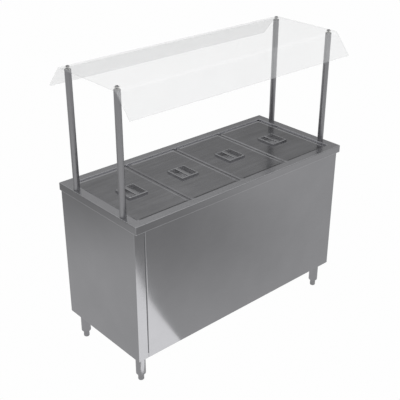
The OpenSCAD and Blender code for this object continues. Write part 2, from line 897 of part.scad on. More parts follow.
guard_panel();
post(posts_at[0]);  // post_front_left
post(posts_at[1]);  // post_front_right
post(posts_at[2]);  // post_rear_left
post(posts_at[3]);  // post_rear_right
post_plugs();
panel_washers();
clamp_knobs();
post_sockets();
socket_screws();
counter_top();
top_stiffeners();
water_tank();
pan_bars();
pan(1);  // pan_1
pan(2);  // pan_2
pan(3);  // pan_3
pan(4);  // pan_4
lid(1);  // lid_1
lid(2);  // lid_2
lid(3);  // lid_3
lid(4);  // lid_4
lid_handle(1);  // lid_handle_1
lid_handle(2);  // lid_handle_2
lid_handle(3);  // lid_handle_3
lid_handle(4);  // lid_handle_4
left_end_panel();
right_end_panel();
front_panel();
bottom_shelf();
shelf_braces();
control_panel();
thermostat();
thermostat_knob();
power_switch();
switch_rocker();
pilot_lamp();
terminal_box();
cable_gland();
heating_element();
element_clips();
element_nuts();
drain_fitting();
drain_valve();
drain_lever();
drain_pipe();
door_left();
door_right();
door_tracks();
leg(legs_at[0]);  // leg_front_left
leg(legs_at[1]);  // leg_front_right
leg(legs_at[2]);  // leg_rear_left
leg(legs_at[3]);  // leg_rear_right
foot(legs_at[0]);  // foot_front_left
foot(legs_at[1]);  // foot_front_right
foot(legs_at[2]);  // foot_rear_left
foot(legs_at[3]);  // foot_rear_right
leg_bolts();
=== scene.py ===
"""Buffet serving counter with four lidded wells and a clear four-post sneeze guard."""

import math

import bmesh
import bpy
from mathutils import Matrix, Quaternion, Vector

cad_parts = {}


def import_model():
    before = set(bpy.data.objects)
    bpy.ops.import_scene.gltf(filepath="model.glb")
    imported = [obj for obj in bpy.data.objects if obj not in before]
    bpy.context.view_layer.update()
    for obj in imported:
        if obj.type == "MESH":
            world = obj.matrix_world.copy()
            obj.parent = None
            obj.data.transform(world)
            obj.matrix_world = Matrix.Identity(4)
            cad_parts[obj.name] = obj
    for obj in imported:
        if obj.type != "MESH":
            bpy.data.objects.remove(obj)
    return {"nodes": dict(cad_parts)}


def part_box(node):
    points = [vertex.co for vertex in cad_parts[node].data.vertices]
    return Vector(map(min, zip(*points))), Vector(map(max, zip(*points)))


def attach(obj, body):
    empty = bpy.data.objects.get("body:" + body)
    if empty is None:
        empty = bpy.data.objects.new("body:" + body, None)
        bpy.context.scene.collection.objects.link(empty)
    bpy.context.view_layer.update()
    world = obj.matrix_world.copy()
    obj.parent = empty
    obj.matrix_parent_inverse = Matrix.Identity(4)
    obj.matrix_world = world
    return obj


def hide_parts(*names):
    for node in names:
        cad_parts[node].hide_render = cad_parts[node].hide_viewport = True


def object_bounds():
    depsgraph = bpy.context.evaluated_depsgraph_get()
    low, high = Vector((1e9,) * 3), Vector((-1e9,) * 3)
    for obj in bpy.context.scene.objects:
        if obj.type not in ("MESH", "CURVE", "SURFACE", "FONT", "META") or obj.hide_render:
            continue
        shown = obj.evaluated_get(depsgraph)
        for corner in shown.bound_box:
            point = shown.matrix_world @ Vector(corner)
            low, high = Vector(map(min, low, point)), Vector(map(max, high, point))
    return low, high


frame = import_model()
CAD_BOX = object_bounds()

MM = 0.001
FULL_TURN = 2 * math.pi

# Thickness of the folded steel, inside radius of its bends, and the bevel along its cut edges
SHEET = 1.5 * MM
SHEET_BEND = 1.5 * MM
SHEET_BEVEL = 0.3 * MM
# Wall of the posts and legs, and the hole for the clamp studs of the guard
TUBE_WALL = 1.5 * MM
STUD_HOLE = 4.5 * MM
# How far a cutting shape reaches past the face that it cuts
CUT = 10 * MM
# Edges flatter than this are shaded smooth
SMOOTH_ANGLE = math.radians(35)
# A face is a side where its normal rises or falls less than this, and sheer where less than the second
SIDE = 0.7
SHEER = 0.5

# Names of the four posts, legs and feet
CORNERS = [f"{row}_{side}" for row in ("front", "rear") for side in ("left", "right")]


# -------- mesh helpers


def box_of(node):
    """Lowest and highest corner of a CAD node."""
    lo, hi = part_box(node)
    return Vector(lo), Vector(hi)


def middle(node):
    lo, hi = box_of(node)
    return (lo + hi) / 2


def plan_of(node):
    """Centre and size of a CAD node, seen from above."""
    lo, hi = box_of(node)
    return tuple(middle(node).xy), (hi.x - lo.x, hi.y - lo.y)


def new_object(name, data):
    obj = bpy.data.objects.new(name, data)
    bpy.context.scene.collection.objects.link(obj)
    return obj


def make(name, bm, material, body="counter", nodes=(), bevel=0.0):
    """Turns a bmesh into a piece of the model, with a material by its name in MAT."""
    bmesh.ops.remove_doubles(bm, verts=bm.verts, dist=1e-6)
    bmesh.ops.recalc_face_normals(bm, faces=bm.faces)
    mesh = bpy.data.meshes.new(name)
    bm.to_mesh(mesh)
    bm.free()
    piece = new_object(name, mesh)
    mesh.materials.append(MAT[material])
    smooth(piece)
    if bevel:
        mod = piece.modifiers.new("edges", "BEVEL")
        mod.width = bevel
        mod.segments = 2
        mod.limit_method = "ANGLE"
        mod.angle_limit = math.radians(40)
    weights = piece.modifiers.new("normals", "WEIGHTED_NORMAL")
    weights.keep_sharp = True
    weights.weight = 60
    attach(piece, body)
    if nodes:
        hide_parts(*nodes)
    return piece


def make_sheet(name, bm, material, nodes=()):
    """A fixed piece of folded steel sheet."""
    return make(name, bm, material, nodes=nodes, bevel=SHEET_BEVEL)


def smooth(piece):
    mesh = piece.data
    mesh.polygons.foreach_set("use_smooth", [True] * len(mesh.polygons))
    mesh.set_sharp_from_angle(angle=SMOOTH_ANGLE)


def carve(piece, cutter_bm):
    """Cuts closed shapes out of a piece, before its other modifiers."""
    mesh = bpy.data.meshes.new("cutter")
    bmesh.ops.recalc_face_normals(cutter_bm, faces=cutter_bm.faces)
    cutter_bm.to_mesh(mesh)
    cutter_bm.free()
    cutter = new_object("cutter", mesh)
    others = list(piece.modifiers)
    mod = piece.modifiers.new("carve", "BOOLEAN")
    mod.operation = "DIFFERENCE"
    mod.solver = "EXACT"
    mod.object = cutter
    for other in others:
        other.show_viewport = False
    bpy.context.view_layer.update()
    graph = bpy.context.evaluated_depsgraph_get()
    carved = bpy.data.meshes.new_from_object(piece.evaluated_get(graph))
    piece.modifiers.remove(mod)
    for other in others:
        other.show_viewport = True
    piece.data = carved
    smooth(piece)
    bpy.data.objects.remove(cutter)


def paint(piece, materials, choose):
    """Adds materials after a piece's own, and gives each face the index that choose returns."""
    for name in materials:
        piece.data.materials.append(MAT[name])
    for face in piece.data.polygons:
        face.material_index = choose(face)


def inside(p, at, size):
    """Whether a point lies over a rectangle, seen from above."""
    slack = 0.1 * MM
    return abs(p.x - at[0]) < size[0] / 2 + slack and abs(p.y - at[1]) < size[1] / 2 + slack


def ring(w, l, r, z, at=(0.0, 0.0), seg=5):
    """Points of a rectangle with round corners, at one height."""
    pts = []
    least = 0.01 * MM
    r = max(min(r, w / 2, l / 2), least)
    for sx, sy, start in ((1, 1, 0), (-1, 1, 90), (-1, -1, 180), (1, -1, 270)):
        cx, cy = at[0] + sx * (w / 2 - r), at[1] + sy * (l / 2 - r)
        for across, up in arc(r, start, start + 90, seg):
            pts.append(Vector((cx + across, cy + up, z)))
    return pts


def inset(size, by, r, z, at=(0.0, 0.0), seg=5):
    """A ring that lies a distance inside a rectangle."""
    return ring(size[0] - 2 * by, size[1] - 2 * by, r, z, at, seg)


def upright(size, by, r, y, at, seg=5):
    """An inset ring that stands in the plane of x and z."""
    return [Vector((p.x, y, p.y)) for p in inset(size, by, r, 0, at, seg)]


def rolled_edge(size, r, corner, z, bend, seg, at=(0.0, 0.0), side=1):
    """Rings round a rolled edge with its centre at z; side is -1 for the edge of an opening."""
    return [inset(size, side * (r - across), corner, z + up, at) for across, up in arc(r, *bend, seg)]


def loft(rings, closed=False):
    """Skins a row of rings; a closed one joins its last ring to its first, others get end caps."""
    bm = bmesh.new()
    rows = [[bm.verts.new(p) for p in pts] for pts in rings]
    n = len(rows[0])
    pairs = list(zip(rows, rows[1:]))
    if closed:
        pairs.append((rows[-1], rows[0]))
    for a, b in pairs:
        for i in range(n):
            j = (i + 1) % n
            bm.faces.new((a[i], a[j], b[j], b[i]))
    if not closed:
        bm.faces.new(rows[0][::-1])
        bm.faces.new(rows[-1])
    return bm


def arc(r, start, end, seg):
    """Offsets along a bend, as pairs of across and up."""
    angles = [math.radians(start + (end - start) * i / seg) for i in range(seg + 1)]
    return [(r * math.cos(a), r * math.sin(a)) for a in angles]


def bend(centre, r, start, end):
    """Points of a profile round a bend."""
    steps = 5
    return [(centre[0] + across, centre[1] + up) for across, up in arc(r, start, end, steps)]


def in_mm(points, base=0.0):
    """A profile from radii and heights in mm, with its heights from a base in metres."""
    return [(r * MM, base + h * MM) for r, h in points]


def turns(count):
    """Angles of evenly spaced points round a circle."""
    return [FULL_TURN * i / count for i in range(count)]


def lathe(bm, profile, at, axis="Z", seg=48, closed=False):
    """Turns a profile of radius and height round an axis; a closed one is the section of a tube."""
    rows = []
    if closed:
        profile = [*profile, profile[0]]
    for r, h in profile:
        row = []
        points = 1 if r == 0 else seg
        for a in turns(seg)[:points]:
            u, v = r * math.cos(a), r * math.sin(a)
            p = {"X": (h, u, v), "Y": (v, h, u), "Z": (u, v, h)}[axis]
            row.append(bm.verts.new(Vector(at) + Vector(p)))
        rows.append(row)
    for a, b in zip(rows, rows[1:]):
        for i in range(seg):
            j = (i + 1) % seg
            if len(a) == 1 and len(b) == 1:
                continue
            if len(a) == 1:
                bm.faces.new((a[0], b[j], b[i]))
            elif len(b) == 1:
                bm.faces.new((a[i], a[j], b[0]))
            else:
                bm.faces.new((a[i], a[j], b[j], b[i]))


def rod(bm, r, a, b, at, axis="Z", seg=48):
    """Closed cylinder from a to b along an axis through a point."""
    lathe(bm, [(0, a), (r, a), (r, b), (0, b)], at, axis, seg)


def turned(profile, places, seg=48, closed=False):
    """Turns one upright profile at each place."""
    bm = bmesh.new()
    for x, y in places:
        lathe(bm, profile, (x, y, 0), seg=seg, closed=closed)
    return bm


def drill(piece, r, places, z, seg):
    """Cuts upright round holes through a level sheet near a height."""
    holes = bmesh.new()
    for x, y in places:
        rod(holes, r, z - CUT, z + CUT, (x, y, 0), seg=seg)
    carve(piece, holes)


def left_of(d):
    return Vector((-d.y, d.x))


def fold(points, t, inner_r, seg):
    """Pairs of points on the two faces of a folded sheet; points give one face, the other is left of it."""
    pts = [Vector(p) for p in points]
    first = (pts[1] - pts[0]).normalized()
    pairs = [(pts[0], pts[0] + left_of(first) * t)]
    for a, v, b in zip(pts, pts[1:], pts[2:]):
        d0, d1 = (v - a).normalized(), (b - v).normalized()
        turn = math.atan2(d0.x * d1.y - d0.y * d1.x, d0.dot(d1))
        side = 1 if turn > 0 else -1
        r_face = inner_r + t if side > 0 else inner_r
        r_other = inner_r if side > 0 else inner_r + t
        centre = v - d0 * r_face * math.tan(abs(turn) / 2) + left_of(d0) * side * r_face
        out = -left_of(d0) * side
        for i in range(seg + 1):
            step = turn * i / seg
            n = Vector((out.x * math.cos(step) - out.y * math.sin(step),
                        out.x * math.sin(step) + out.y * math.cos(step)))
            pairs.append((centre + n * r_face, centre + n * r_other))
    last = (pts[-1] - pts[-2]).normalized()
    pairs.append((pts[-1], pts[-1] + left_of(last) * t))
    return pairs


def place(axis, p, along):
    """A point of a section, at a distance along the axis that the section is square to."""
    if axis == "X":
        return Vector((along, p[0], p[1]))
    if axis == "Y":
        return Vector((p[0], along, p[1]))
    return Vector((p[0], p[1], along))


def folded_sheet(points, t, inner_r, axis, a, b, seg, cuts=1):
    """Extrudes a folded sheet along an axis from a to b."""
    bm = bmesh.new()
    pairs = fold(points, t, inner_r, seg)
    stations = [a + (b - a) * i / cuts for i in range(cuts + 1)]
    rows = [[(bm.verts.new(place(axis, p, s)), bm.verts.new(place(axis, q, s))) for p, q in pairs]
            for s in stations]
    for lo, hi in zip(rows, rows[1:]):
        for (p0, q0), (p1, q1), (r0, s0), (r1, s1) in zip(lo, lo[1:], hi, hi[1:]):
            bm.faces.new((p0, p1, r1, r0))
            bm.faces.new((q0, s0, s1, q1))
        bm.faces.new((lo[0][0], hi[0][0], hi[0][1], lo[0][1]))
        bm.faces.new((lo[-1][0], lo[-1][1], hi[-1][1], hi[-1][0]))
    for row in (rows[0], rows[-1]):
        for (p0, q0), (p1, q1) in zip(row, row[1:]):
            bm.faces.new((p0, q0, q1, p1))
    return bm


def prism(bm, outline, axis, a, b):
    """Extrudes a closed outline along an axis."""
    lo = [bm.verts.new(place(axis, p, a)) for p in outline]
    hi = [bm.verts.new(place(axis, p, b)) for p in outline]
    n = len(outline)
    for i in range(n):
        j = (i + 1) % n
        bm.faces.new((lo[i], lo[j], hi[j], hi[i]))
    bm.faces.new(lo[::-1])
    bm.faces.new(hi)


def block(bm, lo, hi):
    x0, y0, z0 = lo
    x1, y1, z1 = hi
    prism(bm, [(x0, y0), (x1, y0), (x1, y1), (x0, y1)], "Z", z0, z1)


def hexagon(flats, at):
    """Outline of a hexagon, by its size across the flats."""
    r = flats / 2 / math.cos(math.pi / 6)
    return [(at[0] + r * math.cos(a), at[1] + r * math.sin(a)) for a in turns(6)]


# -------- materials

# Stretch of a noise along each axis: none, or drawn out into lines along one or two of them
EVEN = (1.0, 1.0, 1.0)
LINES_X = (0.02, 1.0, 1.0)
LINES_XY = (0.02, 0.02, 1.0)
LINES_Y = (1.0, 0.03, 1.0)
LINES_Z = (1.0, 1.0, 0.02)
# Scale of the noise that makes grain lines
GRAIN = 700.0
# Span of a noise that its colours or numbers are spread over
LOW, HIGH = 0.3, 0.7


def nodes_of(name):
    """A new material with its node tree and its shader."""
    mat = bpy.data.materials.new(name)
    mat.use_nodes = True
    tree = mat.node_tree
    shader = next(n for n in tree.nodes if n.type == "BSDF_PRINCIPLED")
    return mat, tree, shader


def add(tree, kind, inputs=(), **settings):
    """A new shader node, with pairs of an input's name and its value."""
    node = tree.nodes.new(f"ShaderNode{kind}")
    for key, value in settings.items():
        setattr(node, key, value)
    for key, value in inputs:
        node.inputs[key].default_value = value
    return node


def noise_field(tree, stretch, size, detail=3.0, rough=0.6):
    """Noise in object space, stretched by a scale for each axis."""
    coords = add(tree, "TexCoord")
    mapping = add(tree, "Mapping", [("Scale", stretch)])
    tex = add(tree, "TexNoise", [("Scale", size), ("Detail", detail), ("Roughness", rough)])
    tree.links.new(coords.outputs["Object"], mapping.inputs["Vector"])
    tree.links.new(mapping.outputs["Vector"], tex.inputs["Vector"])
    return tex.outputs["Fac"]


def spread(tree, source, low, high, from_low=LOW, from_high=HIGH):
    """Maps the span of a field to a range of numbers."""
    node = add(tree, "MapRange", [("From Min", from_low), ("From Max", from_high),
                                  ("To Min", low), ("To Max", high)])
    tree.links.new(source, node.inputs["Value"])
    return node.outputs["Result"]


def tint(tree, source, dark, light):
    """Maps the span of a field to a range of colours."""
    node = add(tree, "ValToRGB")
    for end, position, colour in zip(node.color_ramp.elements, (LOW, HIGH), (dark, light)):
        end.position = position
        end.color = (*colour, 1)
    tree.links.new(source, node.inputs["Fac"])
    return node.outputs["Color"]


def blend_fields(tree, a, b, share):
    node = add(tree, "Mix", [("Factor", share)])
    tree.links.new(a, node.inputs["A"])
    tree.links.new(b, node.inputs["B"])
    return node.outputs["Result"]


def bump(tree, shader, source, strength, distance):
    node = add(tree, "Bump", [("Strength", strength), ("Distance", distance)])
    tree.links.new(source, node.inputs["Height"])
    tree.links.new(node.outputs["Normal"], shader.inputs["Normal"])


def shade(tree, shader, field, colours, roughness, rough_field=None):
    """Links a field to a shader's colour and roughness, or a second one to its roughness."""
    tree.links.new(tint(tree, field, *colours), shader.inputs["Base Color"])
    tree.links.new(spread(tree, rough_field or field, *roughness), shader.inputs["Roughness"])


def grey(tone):
    """Grey with the slight blue of stainless steel."""
    blue = 1.035
    return tone, tone, tone * blue


def scaled(colour, factor):
    return tuple(min(1.0, c * factor) for c in colour)


def steel(name, tone, roughness, grain=EVEN, metallic=1.0):
    """Stainless steel with a fine grain and faint clouds."""
    vary = 0.05
    gloss, dull = roughness * 0.88, roughness * 1.15
    mat, tree, shader = nodes_of(name)
    lines = noise_field(tree, grain, GRAIN)
    cloud = noise_field(tree, EVEN, size=5.0, rough=0.55)
    both = blend_fields(tree, lines, cloud, share=0.55)
    shade(tree, shader, both, (grey(tone * (1 - vary)), grey(tone * (1 + vary))), (gloss, dull))
    bump(tree, shader, lines, strength=0.03, distance=0.4 * MM)
    shader.inputs["Metallic"].default_value = metallic
    return mat


def brushed_lid():
    """Lid steel, with long soft streaks from brushing."""
    mat, tree, shader = nodes_of("lid_steel")
    lines = noise_field(tree, (0.03, 1.0, 1.0), GRAIN)
    streaks = noise_field(tree, (0.05, 1.0, 1.0), size=55.0)
    cloud = noise_field(tree, EVEN, size=6.0, rough=0.55)
    both = blend_fields(tree, streaks, cloud, share=0.5)
    shade(tree, shader, both, (grey(0.325), grey(0.46)), (0.17, 0.24), rough_field=streaks)
    bump(tree, shader, lines, strength=0.03, distance=0.4 * MM)
    shader.inputs["Metallic"].default_value = 1.0
    return mat


def plastic(name, colour, roughness):
    """Moulded plastic with a fine even texture."""
    mat, tree, shader = nodes_of(name)
    grains = noise_field(tree, EVEN, size=900.0, detail=2.0, rough=0.5)
    shade(tree, shader, grains, (scaled(colour, 0.85), scaled(colour, 1.12)),
          (roughness * 0.85, roughness * 1.15))
    bump(tree, shader, grains, strength=0.12, distance=0.3 * MM)
    return mat


def metal(name, colour, roughness, patch=60.0, vary=0.12):
    """Cast or plated metal with patches of colour."""
    mat, tree, shader = nodes_of(name)
    patches = noise_field(tree, EVEN, patch, detail=4.0)
    shade(tree, shader, patches, (scaled(colour, 1 - vary), scaled(colour, 1 + vary)),
          (roughness * 0.8, roughness * 1.25))
    bump(tree, shader, patches, strength=0.08, distance=0.4 * MM)
    shader.inputs["Metallic"].default_value = 1.0
    return mat


def clear_sheet():
    """Clear plastic with a faint haze, denser face on and at the very edge of sight."""
    mat, tree, shader = nodes_of("clear_sheet")
    haze = noise_field(tree, EVEN, size=9.0, rough=0.5)
    shade(tree, shader, haze, ((0.78, 0.79, 0.80), (0.84, 0.85, 0.86)), (0.05, 0.09))
    rim = add(tree, "LayerWeight", [("Blend", 0.5)])
    facing = rim.outputs["Facing"]
    total = add(tree, "Math", operation="ADD")
    face_on = spread(tree, facing, 0.20, 0.14, from_low=0.2, from_high=0.55)
    edge_on = spread(tree, facing, 0.0, 0.25, from_low=0.86, from_high=1.0)
    tree.links.new(face_on, total.inputs[0])
    tree.links.new(edge_on, total.inputs[1])
    tree.links.new(total.outputs[0], shader.inputs["Alpha"])
    shader.inputs["IOR"].default_value = 1.49
    return mat


MAT = {
    "sheet": clear_sheet(),
    "end": steel("end_steel", tone=0.45, roughness=0.14, grain=LINES_XY),
    "front": steel("front_steel", tone=0.45, roughness=0.13, grain=LINES_X),
    # Lit and shaded copies of one steel for the top sheet: its top face lighter than the apron on its
    # sides, painted light
    "top": steel("top_face_lit_steel", tone=0.57, roughness=0.22, grain=LINES_X),
    "apron": steel("apron_steel", tone=0.43, roughness=0.14, grain=LINES_X),
    # Lighter copy of the steel: a painted highlight along the top sheet's hem and on the outer sides of the
    # lid handles' frames
    "hem": steel("painted_highlight_steel", tone=0.62, roughness=0.2, grain=LINES_X),
    "lid": brushed_lid(),
    # Much lighter copy of the steel: painted light on the walls of the recess
    "bright": steel("painted_light_steel", tone=0.8, roughness=0.2, grain=LINES_X),
    # Darker copies of the grip steel for the finger cups: painted shade, the floor's copy not metallic so
    # that the lamps light it
    "cup_floor": steel("cup_floor_shaded_steel", tone=0.34, roughness=0.5, metallic=0.0),
    "cup": steel("cup_wall_shaded_steel", tone=0.34, roughness=0.5, metallic=0.5),
    "grip": steel("grip_steel", tone=0.50, roughness=0.24, grain=LINES_Y),
    "pan": steel("pan_steel", tone=0.52, roughness=0.24, grain=(0.05, 1.0, 1.0)),
    "inner": steel("inner_steel", tone=0.42, roughness=0.34, grain=(0.03, 1.0, 1.0)),
    "post": steel("post_steel_grain", tone=0.45, roughness=0.34, grain=LINES_Z),
    "knob": steel("knob_steel", tone=0.50, roughness=0.22, grain=(1.0, 1.0, 0.3)),
    "door": steel("door_steel_grain", tone=0.46, roughness=0.24, grain=LINES_Z),
    "leg": steel("leg_steel_grain", tone=0.45, roughness=0.2, grain=LINES_Z),
    "foot": steel("foot_steel", tone=0.42, roughness=0.28, grain=(1.0, 1.0, 0.2)),
    "bolt": metal("bolt_metal", (0.55, 0.55, 0.54), roughness=0.32),
    "zinc": metal("zinc_metal", (0.56, 0.57, 0.58), roughness=0.42, patch=45.0, vary=0.18),
    "heater": metal("heater_metal", (0.20, 0.19, 0.18), roughness=0.45, patch=80.0, vary=0.2),
    "brass": metal("brass_metal", (0.72, 0.56, 0.28), roughness=0.3, patch=70.0),
    "nylon": plastic("nylon_natural", (0.62, 0.62, 0.60), roughness=0.4),
    "black": plastic("plastic_black", (0.03, 0.03, 0.032), roughness=0.42),
    "green": plastic("plastic_green", (0.02, 0.22, 0.06), roughness=0.35),
    "amber": plastic("plastic_amber", (0.85, 0.20, 0.03), roughness=0.18),
    "lever": plastic("lever_paint_red", (0.45, 0.03, 0.025), roughness=0.35),
    "mark": plastic("mark_white", (0.75, 0.75, 0.75), roughness=0.5),
}


# -------- sneeze guard


def post_places():
    return [tuple(middle(f"post_{corner}").xy) for corner in CORNERS]


def guard():
    """Clear sheet with a flat top and a wing folded down along each side."""
    lo, hi = box_of("guard_panel")
    thick = 8 * MM
    bend_r = 26 * MM
    fold_y = 221 * MM
    slope = math.radians(50.04)
    tip = hi.z - (hi.y - fold_y) * math.tan(slope)
    outline = [(hi.y, tip), (fold_y, hi.z), (-fold_y, hi.z), (-hi.y, tip)]
    bm = folded_sheet(outline, thick, bend_r, "X", lo.x, hi.x, seg=10, cuts=4)
    piece = make("guard_sheet", bm, "sheet", nodes=("guard_panel",),
                 bevel=0.8 * MM)
    drill(piece, STUD_HOLE, post_places(), hi.z, seg=32)


def posts():
    edge = 0.4 * MM
    for corner in CORNERS:
        node = f"post_{corner}"
        lo, hi = box_of(node)
        r = (hi.x - lo.x) / 2
        inner = r - TUBE_WALL
        profile = [(r - edge, lo.z), (r, lo.z + edge), (r, hi.z - edge), (r - edge, hi.z),
                   (inner, hi.z), (inner, lo.z)]
        bm = turned(profile, [middle(node).xy], seg=56, closed=True)
        make(f"post_tube_{corner}", bm, "post", nodes=(node,))


def plugs():
    """Turned plugs in the tops of the posts, with a round shoulder and a threaded bore."""
    lo, hi = box_of("post_plugs")
    tube_top = box_of("post_front_left")[1].z
    r, spigot, thread = 16 * MM, 14.5 * MM, 4.1 * MM
    shoulder, chamfer_r, chamfer_z = 2.8 * MM, 0.3 * MM, 0.2 * MM
    profile = [(spigot, lo.z), (spigot, tube_top), (r - chamfer_r, tube_top),
               (r, tube_top + chamfer_z)]
    profile += bend((r - shoulder, hi.z - shoulder), shoulder, 0, 90)
    profile += [(thread, hi.z), (thread, lo.z)]
    bm = turned(profile, post_places(), seg=56, closed=True)
    make("post_caps", bm, "post", nodes=("post_plugs",))


def washers():
    """A washer above and a washer below the guard at each post."""
    lo, hi = box_of("panel_washers")
    r, height, edge = 13 * MM, 1.5 * MM, 0.5 * MM
    bm = bmesh.new()
    for x, y in post_places():
        for z in (lo.z, hi.z - height):
            top = z + height
            lathe(bm, [(r - edge, z), (r, z + edge), (r, top - edge), (r - edge, top),
                       (STUD_HOLE, top), (STUD_HOLE, z)], (x, y, 0), closed=True)
    make("guard_washers", bm, "nylon", nodes=("panel_washers",))


def knobs():
    """Clamp knobs with a round edge and a dimple, each on its stud."""
    lo, hi = box_of("clamp_knobs")
    seat = box_of("panel_washers")[1].z
    r, edge, crown = 8 * MM, 0.5 * MM, 2.5 * MM
    stud, point, taper = 4.0 * MM, 3.4 * MM, 0.8 * MM
    dimple = hi.z - 1.6 * MM
    profile = [(0, lo.z), (point, lo.z), (stud, lo.z + taper), (stud, seat), (r - edge, seat),
               (r, seat + edge)]
    profile += bend((r - crown, hi.z - crown), crown, 0, 90)
    profile += [(3.2 * MM, hi.z), (2.6 * MM, dimple), (0, dimple)]
    bm = turned(profile, post_places())
    make("guard_knobs", bm, "knob", nodes=("clamp_knobs",))


# -------- counter top, lids and pans


def well_size():
    """Length and depth of the recess, from the pans that fill it."""
    lo, hi = box_of("pan_1")
    pitch = (middle("pan_4").x - middle("pan_1").x) / 3
    play = 2 * MM
    return 4 * pitch, hi.y - lo.y + play


def counter_top():
    """Top sheet with its recess, a round outer edge and a rolled hem along the bottom."""
    lo, hi = box_of("counter_top")
    size = (hi.x - lo.x, hi.y - lo.y)
    inner_size = (size[0] - 2 * SHEET, size[1] - 2 * SHEET)
    well = well_size()
    ledge = box_of("pan_1")[1].z - 1 * MM
    under = hi.z - SHEET
    hem, edge, lip = 4.0 * MM, 3.0 * MM, 2.2 * MM
    corner, inner_corner = 3.2 * MM, 2.0 * MM
    well_corner, outer_well_corner = 4.0 * MM, 5.0 * MM
    post_hole = 16.2 * MM
    rings = [inset(size, hem, inner_corner, lo.z + SHEET), inset(size, hem, inner_corner, lo.z)]
    rings += rolled_edge(size, hem, corner, lo.z + hem, (-90, 0), 5)
    rings += rolled_edge(size, edge, corner, hi.z - edge, (0, 90), 5)
    rings += rolled_edge(well, lip, well_corner, hi.z - lip, (90, 0), 5, side=-1)
    rings += [inset(well, 0, well_corner, ledge), inset(well, -SHEET, outer_well_corner, ledge),
              inset(well, -SHEET, outer_well_corner, under), inset(size, SHEET, inner_corner, under)]
    rings += rolled_edge(inner_size, hem - SHEET, inner_corner, lo.z + hem, (0, -90), 4)
    piece = make("top_sheet", loft(rings, closed=True), "top", nodes=("counter_top",))
    drill(piece, post_hole, post_places(), hi.z, seg=56)
    hem_top = lo.z + hem + 1 * MM
    recess = (well[0] + 2 * lip, well[1] + 2 * lip)

    # Faces of the top sheet get lit and shaded copies of one steel: the top face lighter than the apron, a
    # painted highlight along the hem, painted light on the recess walls
    def choose(face):
        rise = abs(face.normal.z)
        if face.center.z < hem_top:
            return 2
        if rise < SIDE and inside(face.center, (0.0, 0.0), recess):
            return 3
        return 1 if rise < SHEER else 0

    paint(piece, ("apron", "hem", "bright"), choose)


def lid(i):
    """Pressed lid with a round rim, a sunk field and an opening for the finger cup."""
    node = f"lid_{i}"
    lo, hi = box_of(node)
    at, size = plan_of(node)
    grip = plan_of(f"lid_handle_{i}")[1]
    field = box_of(f"lid_handle_{i}")[1].z - 10 * MM
    thick = 1.0 * MM
    overlap = 8 * MM
    border = 18 * MM
    corner, inner_corner, slope_corner, opening_corner = 10 * MM, 9 * MM, 5 * MM, 3 * MM
    # Section of the rim, as inward and up from the top edge, in mm
    rim = [(0.0, -6.0), (0.3, -5.4), (5.0, -0.5), (5.2, -0.15), (5.7, 0.0)]
    # Section of the slope into the field, as inward at the sides, at the ends, and up, in mm
    slope = [(-1.3, -10.0, 0.0), (-1.0, -9.0, -0.15), (1.0, -1.0, -1.85), (1.3, 0.0, -2.0)]
    # How far the slope's underside lies outward of its top
    outward = 0.4

    def slope_ring(side, end, z):
        w = size[0] - 2 * border - 2 * side * MM
        l = size[1] - 2 * border - 2 * end * MM
        return ring(w, l, slope_corner, z, at)

    rings = [inset(size, thick, inner_corner, lo.z, at), inset(size, 0, corner, lo.z, at)]
    for inward, up in rim:
        rings.append(inset(size, inward * MM, corner, hi.z + up * MM, at))
    for side, end, up in slope:
        rings.append(slope_ring(side, end, hi.z + up * MM))
    for z in (field, field - thick):
        rings.append(inset(grip, overlap, opening_corner, z, at))
    for side, end, up in reversed(slope):
        rings.append(slope_ring(side - outward, end - outward, hi.z + up * MM - thick))
    for inward, up in reversed(rim[1:]):
        rings.append(inset(size, inward * MM + thick, inner_corner, hi.z + up * MM - thick / 2, at))
    make(f"lid_sheet_{i}", loft(rings, closed=True), "lid", body=node, nodes=(node,))


def lid_handle(i):
    """Raised frame round a finger cup, with its strap."""
    node = f"lid_handle_{i}"
    lo, hi = box_of(node)
    at, size = plan_of(node)
    rail = 9 * MM
    cup = (size[0] - 2 * rail, size[1] - 2 * rail)
    field = hi.z - 10 * MM
    floor_z = lo.z + 1 * MM
    crown, lip = 2.5 * MM, 1.5 * MM
    frame_corner, cup_corner, floor_corner = 7 * MM, 4 * MM, 3 * MM
    rings = [inset(cup, 2.2 * MM, floor_corner, lo.z, at),
             inset(cup, -0.8 * MM, cup_corner, lo.z + 3 * MM, at),
             inset(cup, -0.8 * MM, cup_corner, field, at),
             inset(size, 0, frame_corner, field, at)]
    rings += rolled_edge(size, crown, frame_corner, hi.z - crown, (0, 90), 4, at)
    rings += rolled_edge(cup, lip, cup_corner, hi.z - lip, (90, 0), 3, at, side=-1)
    rings += [inset(cup, 0, cup_corner, floor_z + 3 * MM, at),
              inset(cup, 0.9 * MM, floor_corner, floor_z + 0.9 * MM, at),
              inset(cup, 3 * MM, floor_corner, floor_z, at)]
    piece = make(f"lid_grip_{i}", loft(rings), "grip", body=f"lid_{i}", nodes=(node,))
    cup_top = hi.z - 2 * MM

    # Faces of the handle get lit and shaded copies of the grip steel: painted shade in the cup, its floor
    # lit by the lamps, a painted highlight on the frame's outer sides
    def choose(face):
        within = inside(face.center, at, cup)
        if within and face.center.z < cup_top:
            return 3 if face.normal.z > SHEER else 1
        return 2 if abs(face.normal.z) < SIDE and not within else 0

    paint(piece, ("cup", "hem", "cup_floor"), choose)
    strap(i, at, cup[1], hi.z)


def strap(i, at, reach, frame_top):
    """Pressed strap with turned-down edges, across the finger cup."""
    half = 11 * MM
    top = frame_top - 0.4 * MM
    low = top - 5 * MM
    end = reach / 2 + 0.5 * MM
    path = [(at[0] + half, low), (at[0] + half, top), (at[0] - half, top), (at[0] - half, low)]
    bm = folded_sheet(path, SHEET, SHEET_BEND, "Y", at[1] - end, at[1] + end, seg=4)
    make(f"lid_strap_{i}", bm, "grip", body=f"lid_{i}")


